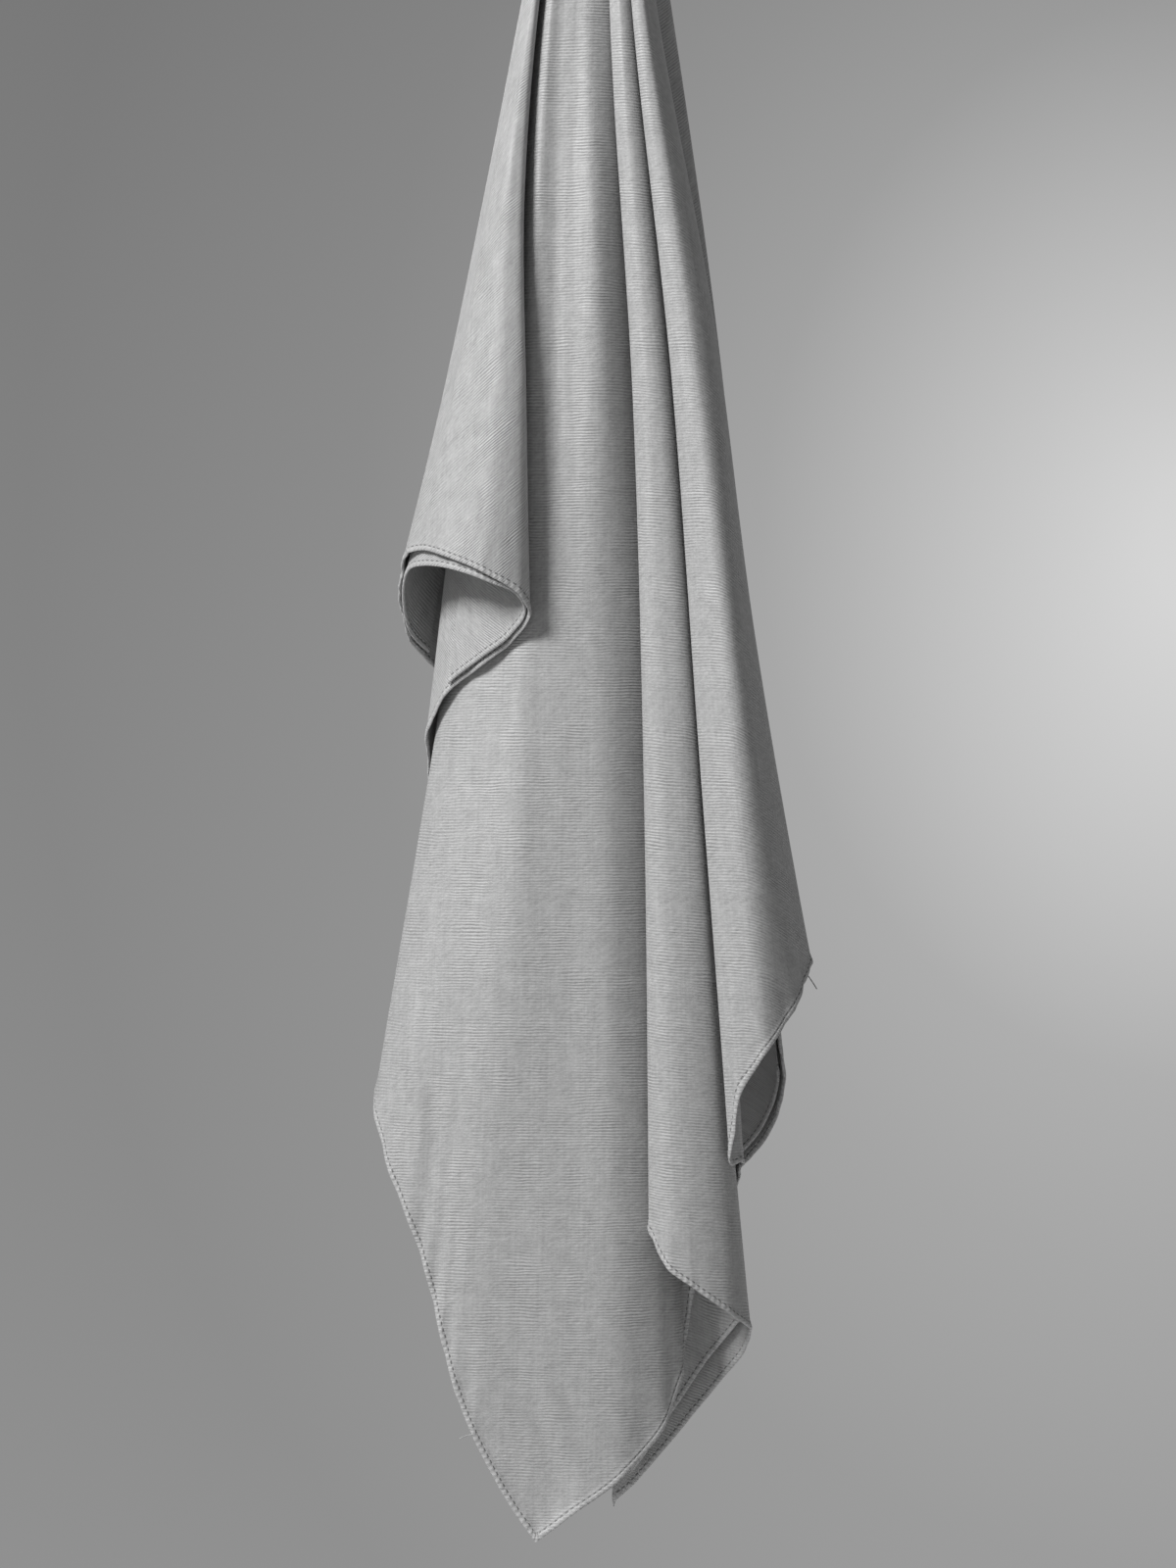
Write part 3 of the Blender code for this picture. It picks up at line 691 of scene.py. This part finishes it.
# A loose end of thread: how far along its stretch's stitches it hangs, its length, how far it sags, and the
# way that it sets out
LooseEnd = namedtuple("LooseEnd", "stretch share length sag way")
LOOSE_ENDS = [
    LooseEnd("main_panel", 0.43, 8.0, 2.6, (-0.96, -0.1, 0.1)),
    LooseEnd("right_roll_back", 0.04, 11.0, 3.5, (0.75, -0.2, -0.65)),
]
THREAD_RADIUS = 0.24
THREAD_STEPS = 14


def thread_tube(start, end):
    """A thin tube of six sides from a point: it runs straight on, and sags with the square of the length."""
    share = np.linspace(0, 1, THREAD_STEPS)[:, None]
    path = start + share * end.length * unit(np.array(end.way)) - share**2 * np.array([0, 0, end.sag])
    way = unit(np.gradient(path, axis=0))
    side = unit(np.cross(way, [0, 1, 0]))
    turn = 2 * np.pi * np.arange(THREAD_SIDES) / THREAD_SIDES
    ring = np.cos(turn)[:, None, None] * side + np.sin(turn)[:, None, None] * np.cross(way, side)
    points = (path + THREAD_RADIUS * ring).transpose(1, 0, 2).reshape(-1, 3)
    rings = THREAD_SIDES * np.arange(THREAD_STEPS)[:, None]
    low = rings[:-1] + np.arange(THREAD_SIDES)
    next_low = rings[:-1] + (np.arange(THREAD_SIDES) + 1) % THREAD_SIDES
    walls = np.stack([low, next_low, next_low + THREAD_SIDES, low + THREAD_SIDES], axis=2).reshape(-1, 4)
    caps = np.array([[0, 5, 4, 3], [0, 3, 2, 1]])       # the six corners of an end, as two faces
    return points, np.concatenate([walls, caps, caps[:, ::-1] + rings[-1]])


def stitches(name, part, loose=()):
    """A stretch's stitches: beads at even steps along the hem, on both faces of it, and its loose ends."""
    line = part[1:-1, -1 - STITCH_ROW]
    normal = inward(part)[1:-1, -1 - STITCH_ROW]
    along = np.maximum.accumulate(hem_places(part)[1:-1, -1 - STITCH_ROW])
    first, last = along[0] / STITCH_PITCH - 0.5, along[-1] / STITCH_PITCH - 0.5
    at = (np.arange(np.ceil(first), last) + 0.5) * STITCH_PITCH
    centre, up, ahead, behind = (
        np.stack([np.interp(where, along, field[:, k]) for k in range(3)], axis=1)
        for field, where in ((line, at), (normal, at), (line, at + 0.5), (line, at - 0.5)))
    way, up = unit(ahead - behind), unit(up)
    beside = np.cross(up, way)
    centre = np.concatenate([centre + side * HEM_HALF[STITCH_ROW] * up for side in (-1, 1)])
    axes = np.stack([np.tile(axis, (2, 1)) for axis in (way, beside, up)], axis=1)
    axes *= np.reshape(STITCH_HALF, (3, 1))
    points, caps, walls = bead()
    points_all = (centre[:, None] + np.einsum("pk,skd->spd", points, axes)).reshape(-1, 3)
    steps = np.arange(len(centre))[:, None, None] * len(points)
    faces = [(part_faces + steps).reshape(-1, part_faces.shape[1]) for part_faces in caps + walls]
    for end in loose:
        tube, tube_faces = thread_tube(centre[int(end.share * len(at))], end)
        faces.append(tube_faces + len(points_all))
        points_all = np.concatenate([points_all, tube])
    return new_piece(name, points_all, faces, thread)


start = 1
for stretch in STRETCHES:
    stop = start + len(stretch.folds)
    columns = slice(COLUMN_OF[start] - 1, COLUMN_OF[stop] + 2)
    piece = shell(stretch.name + "_cloth", grid[columns], from_hem[columns],
                  cloth_uv(grid[columns], columns, stretch.ribs_from), grey_twill)
    sewn = stitches(stretch.name + "_stitches", grid[columns],
                    [end for end in LOOSE_ENDS if end.stretch == stretch.name])
    hang(stretch.name)
    start = stop

# ---------------------------------------------------------------------------------------------------------
# The second plies: the same cloth once more, a few millimetres inside the rolls, whose hems show as a second
# line just inside the first. They end out of sight, where the rolls get too narrow for them.
# ---------------------------------------------------------------------------------------------------------
# Each ply starts at a drop below the held point. A row is a fold line that the ply follows, how far below
# that fold line's end its own hem lies, and how far inside it the ply lies there.
Ply = namedtuple("Ply", "fold lower inside")
PLIES = {
    "left_inner_ply": (300.0, [
        Ply("left_back_side", -3.0, 2.2),
        Ply("left_roll_outside", 4.0, 2.4),
        Ply("left_roll_peak", 6.5, 2.6),
        Ply("left_roll_crown", 2.5, 2.2),
        Ply("left_roll_edge", -2.0, 2.0),
        Ply("left_flap_middle", -3.0, 2.0),
        Ply("left_flap_side", -2.5, 2.0),
    ]),
    "right_inner_ply": (300.0, [
        Ply("right_back_outside", -4.0, 2.2),
        Ply("right_back_side", -5.0, 2.4),
        Ply("right_back_middle", -5.0, 2.2),
    ]),
    "middle_inner_ply": (480.0, [
        Ply("middle_roll_outside", -9.0, 2.4),
        Ply("middle_return_side", -13.0, 3.0),
        Ply("middle_return_back", -14.0, 4.0),
        Ply("middle_return_low", -11.0, 3.5),
        Ply("middle_return_tip", -6.0, 3.0),
    ]),
}

for name, (top_drop, plies) in PLIES.items():
    known = [0]
    for ply in plies:
        known.append(fold_index(ply.fold, known[-1]))
    known = known[1:]
    shift = np.interp(PLACES, PLACES[known], [ply.lower for ply in plies])
    columns = slice(COLUMN_OF[known[0]] - 1, COLUMN_OF[known[-1]] + 2)
    inside = np.interp(COLUMNS[columns], PLACES[known], [ply.inside for ply in plies])
    ply_grid, ply_hem = cloth_grid(top_drop, shift)
    ply_grid = sway(ply_grid)
    part = ply_grid[columns] + inside[:, None, None] * inward(ply_grid[columns])
    uv = cloth_uv(part, columns, plies[len(plies) // 2].fold)
    piece = shell(name + "_cloth", part, ply_hem[columns], uv, grey_twill)
    sewn = stitches(name + "_stitches", part)
    hang(name)

# ---------------------------------------------------------------------------------------------------------
# The gathered top: the same folds pressed together into a bundle where the scarf is held, and pinched shut
# above it. It isn't in the photo's frame.
# ---------------------------------------------------------------------------------------------------------
# Height above the held point, and the bundle's size there as a share of its size where the folds open
BUNDLE_HEIGHTS = [-GATHER_DROP, -28, -14, 0, 7, 12, 14, 14.8]
BUNDLE_SIZES = [1, 0.82, 0.62, 0.47, 0.42, 0.33, 0.2, 0.02]
BUNDLE_ROWS = 56
NO_HEM = 99.0           # a distance from the hem at which nothing of it shows
BUNDLE_RIB = 0.7

ring = grid[COLUMN_OF[1] - 1:COLUMN_OF[-3] + 2, 0]
share = np.linspace(1, 0, BUNDLE_ROWS)
rings = np.arange(len(BUNDLE_SIZES)) / (len(BUNDLE_SIZES) - 1)
size = spline(rings, BUNDLE_SIZES, share)[None, :, None]
height = np.tile(spline(rings, BUNDLE_HEIGHTS, share), (len(ring), 1))[:, :, None]
bundle = np.concatenate([ring[:, None, :2] * size, height], axis=2)
around = length_along(ring)
drop = -height[:, :, 0]
bundle_uv = np.stack([around[:, None] + 0 * drop, BUNDLE_RIB * around[:, None] + drop], axis=2)
piece = shell("gathered_top_cloth", bundle, np.full(bundle.shape[:2], NO_HEM), bundle_uv, grey_twill)
hang("gathered_top")

# ---------------------------------------------------------------------------------------------------------
# The studio: a pale floor below the view, a large soft light from the left and front, well above the scarf,
# a weak one from behind, and a plain soft backdrop that is lighter to the right and below.
# ---------------------------------------------------------------------------------------------------------
FLOOR_Z = -1.05
FLOOR_RADIUS = 1.3
FLOOR_SIDES = 96
turn = np.linspace(0, 2 * np.pi, FLOOR_SIDES, endpoint=False)
floor_edge = np.column_stack([FLOOR_RADIUS * np.cos(turn), FLOOR_RADIUS * np.sin(turn), 0 * turn + FLOOR_Z])
floor_mesh = bpy.data.meshes.new("floor")
floor_mesh.from_pydata(floor_edge.tolist(), [], [list(range(FLOOR_SIDES))])
floor = bpy.data.objects.new("floor", floor_mesh)
bpy.context.scene.collection.objects.link(floor)
# Matt emulsion paint, rolled on: pale, even and without a highlight
paint = bpy.data.materials.new("floor_paint")
paint.use_nodes = True
paint.node_tree.nodes["Principled BSDF"].inputs["Base Color"].default_value = linear("#d6d6d6")
paint.node_tree.nodes["Principled BSDF"].inputs["Roughness"].default_value = 0.8
floor_mesh.materials.append(paint)


def soft_light(name, place, aim, size, watts):
    """A square soft light of that size in metres, turned from its place to the point it aims at."""
    light = bpy.data.lights.new(name, "AREA")
    light.size = size
    light.energy = watts
    lamp = bpy.data.objects.new(name, light)
    lamp.location = place
    lamp.rotation_euler = (Vector(aim) - Vector(place)).to_track_quat("-Z", "Y").to_euler()
    bpy.context.scene.collection.objects.link(lamp)


soft_light("key", (-1.55, -1.3, 1.25), (0, 0, -0.42), 0.75, 90)
soft_light("back", (-0.4, 1.9, 0.4), (0, 0, -0.4), 1.0, 5)

# The glow on the backdrop: the way to its middle, and how far aside of that a line of sight meets no more of
# it. Its tones follow from the middle outwards, at shares of that reach.
GLOW_WAY = (0.116, 1.0, 0.046)
GLOW_SPREAD = (1.0, 1.0, 0.82)      # it is longer upwards than across
GLOW_REACH = 0.22
GLOW_MIDDLE = "#e2e2e2"
GLOW_STOPS = ((0.06, "#dfdfdf"), (0.25, "#c5c5c5"), (0.38, "#aeaeae"), (0.51, "#a3a3a3"), (0.72, "#949494"))
GLOW_OUTSIDE = "#898989"
# The backdrop is brighter below than above: its brightness at these heights of the line of sight
HEIGHTS = (-0.16, 0.16)
BRIGHTNESS = (1.14, 0.75)

world = bpy.data.worlds.new("backdrop")
bpy.context.scene.world = world
world.use_nodes = True
sky = world.node_tree
ray = add_node(sky, "ShaderNodeTexCoord").outputs["Generated"]
aside = add_node(sky, "ShaderNodeVectorMath", {0: ray, 1: GLOW_WAY}, operation="SUBTRACT").outputs[0]
aside = add_node(sky, "ShaderNodeVectorMath", {0: aside, 1: GLOW_SPREAD}, operation="MULTIPLY").outputs[0]
away = add_node(sky, "ShaderNodeVectorMath", {0: aside}, operation="LENGTH").outputs["Value"]
away = add_node(sky, "ShaderNodeMath", {0: away, 1: GLOW_REACH}, operation="DIVIDE").outputs[0]
shade = add_node(sky, "ShaderNodeValToRGB", {0: away})
for place, code in GLOW_STOPS:
    shade.color_ramp.elements.new(place).color = linear(code)
shade.color_ramp.elements[0].color = linear(GLOW_MIDDLE)
shade.color_ramp.elements[-1].color = linear(GLOW_OUTSIDE)
height = add_node(sky, "ShaderNodeSeparateXYZ", {0: ray}).outputs[2]
lower = add_node(sky, "ShaderNodeMapRange", {"Value": height, "From Min": HEIGHTS[0], "From Max": HEIGHTS[1],
                                             "To Min": BRIGHTNESS[0], "To Max": BRIGHTNESS[1]}).outputs[0]
sky.links.new(lower, sky.nodes["Background"].inputs["Strength"])
sky.links.new(shade.outputs[0], sky.nodes["Background"].inputs["Color"])
bpy.context.scene.view_settings.view_transform = "Standard"

# The camera stands straight in front, at the middle of the photo's height, with a long lens
VIEW_DISTANCE = 2.4
VIEW_HEIGHT = 0.704         # of the photo's frame, at the held point's depth
VIEW_X = -0.0066
VIEW_Z = -0.4664
SENSOR = 36
camera = bpy.data.objects.new("camera", bpy.data.cameras.new("camera"))
camera.data.sensor_width = SENSOR
camera.data.lens = SENSOR * VIEW_DISTANCE / VIEW_HEIGHT
camera.location = (VIEW_X, -VIEW_DISTANCE, VIEW_Z)
camera.rotation_euler = (np.pi / 2, 0, 0)
bpy.context.scene.collection.objects.link(camera)
bpy.context.scene.camera = camera
